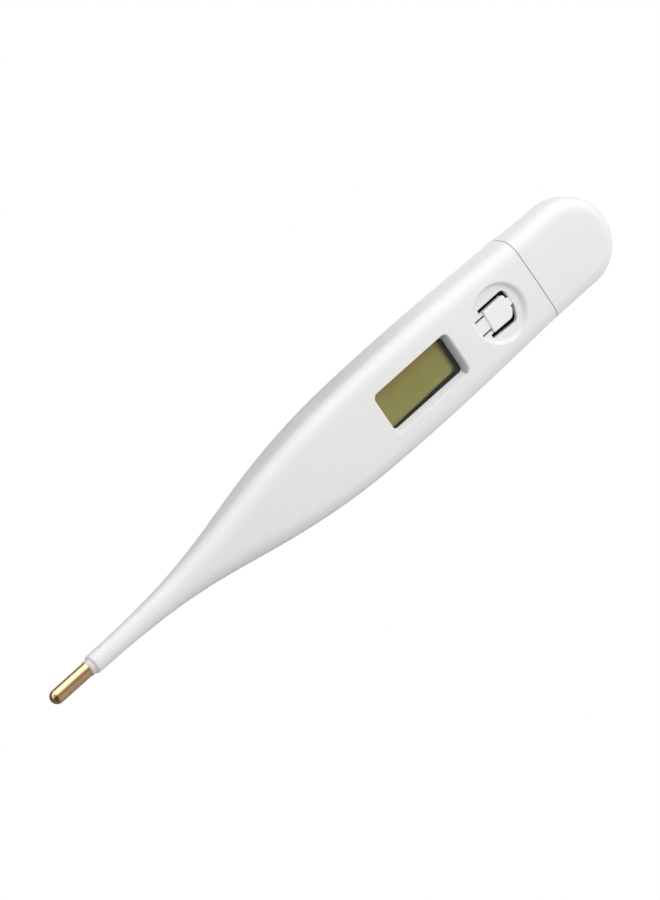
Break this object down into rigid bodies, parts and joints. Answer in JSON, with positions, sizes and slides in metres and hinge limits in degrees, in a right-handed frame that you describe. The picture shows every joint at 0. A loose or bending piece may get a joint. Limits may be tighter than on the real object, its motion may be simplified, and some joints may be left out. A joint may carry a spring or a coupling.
{
  "type": "digital thermometer",
  "caption": "Pencil-type digital clinical thermometer: slim stem with a metal sensing tip, display window, press button and a pull-off battery cover.",
  "frame": {"origin": "middle of the underside: centre of the bounding box in plan, on the plane the thermometer lies on", "axes": "+X along the body from the sensing tip to the battery cover, +Y across it, +Z out of the display face"},
  "size_m": [0.1262, 0.0166, 0.01],
  "materials": {
    "abs_white": "satin moulded white ABS",
    "tip_metal": "polished, gold toned",
    "adhesive": "cured milky epoxy bead",
    "clear_pane": "clear acrylic, polished",
    "lcd_glass": "cut display glass",
    "polarizer": "olive film",
    "mask_black": "black printed card",
    "seal_grey": "cured perimeter seal",
    "zebra_rubber": "layered silicone",
    "pill_rubber": "conductive carbon silicone",
    "carrier_plastic": "natural moulded plastic",
    "board_green": "solder masked glass epoxy",
    "pads_carbon": "printed carbon over copper",
    "chip_black": "glob top epoxy",
    "smd_resistor": "glazed ceramic chip",
    "smd_capacitor": "ceramic chip",
    "solder": "bright solder",
    "buzzer_brass": "rolled sheet",
    "buzzer_ceramic": "silvered ceramic",
    "contact_nickel": "nickel plated strip",
    "battery_steel": "bright stamped steel",
    "battery_nylon": "moulded gasket",
    "battery_mix": "pressed pellet",
    "wire_insulation": "enamel insulation",
    "wire_insulation_b": "enamel insulation",
    "tinned_wire": "tinned wire",
    "ntc_glass": "glass bead",
    "potting": "white thermal paste"
  },
  "bodies": {
    "housing": {"housing": "abs_white", "window_lens": "clear_pane", "metal_tip": "tip_metal", "collar_ring": "adhesive", "thermistor_bead": "ntc_glass", "tip_potting": "potting", "lead_wire_a": "wire_insulation", "lead_wire_b": "wire_insulation_b"},
    "power_button": {"power_button": "abs_white", "contact_pill": "pill_rubber"},
    "carrier": {"carrier_frame": "carrier_plastic", "circuit_board": "board_green", "contact_pads": "pads_carbon", "chip_coating": "chip_black", "chip_resistors": "smd_resistor", "chip_capacitors": "smd_capacitor", "solder_joints": "solder", "display_mask": "mask_black", "lcd_front_polarizer": "polarizer", "lcd_front_glass": "lcd_glass", "lcd_edge_seal": "seal_grey", "lcd_rear_glass": "lcd_glass", "lcd_rear_polarizer": "polarizer", "zebra_connector": "zebra_rubber", "buzzer_plate": "buzzer_brass", "buzzer_ceramic": "buzzer_ceramic", "buzzer_wires": "tinned_wire", "contact_negative": "contact_nickel", "contact_positive": "contact_nickel"},
    "battery": {"battery_can": "battery_steel", "battery_gasket": "battery_nylon", "battery_cap": "battery_steel", "battery_core": "battery_mix"},
    "battery_cover": {"battery_cover": "abs_white"}
  },
  "joints": [
    {"name": "button_press", "type": "hinge", "parent": "housing", "child": "power_button", "pos_m": [0.033, 0, 0.00893], "axis": [0, 1, 0], "range_deg": [0, 4.8]},
    {"name": "carrier_slide", "type": "slide", "parent": "housing", "child": "carrier", "axis": [1, 0, 0], "range_m": [0, 0.006]},
    {"name": "battery_slide", "type": "slide", "parent": "carrier", "child": "battery", "axis": [1, 0, 0], "range_m": [0, 0.012]},
    {"name": "cover_pull", "type": "slide", "parent": "battery", "child": "battery_cover", "axis": [1, 0, 0], "range_m": [0, 0.022]}
  ]
}
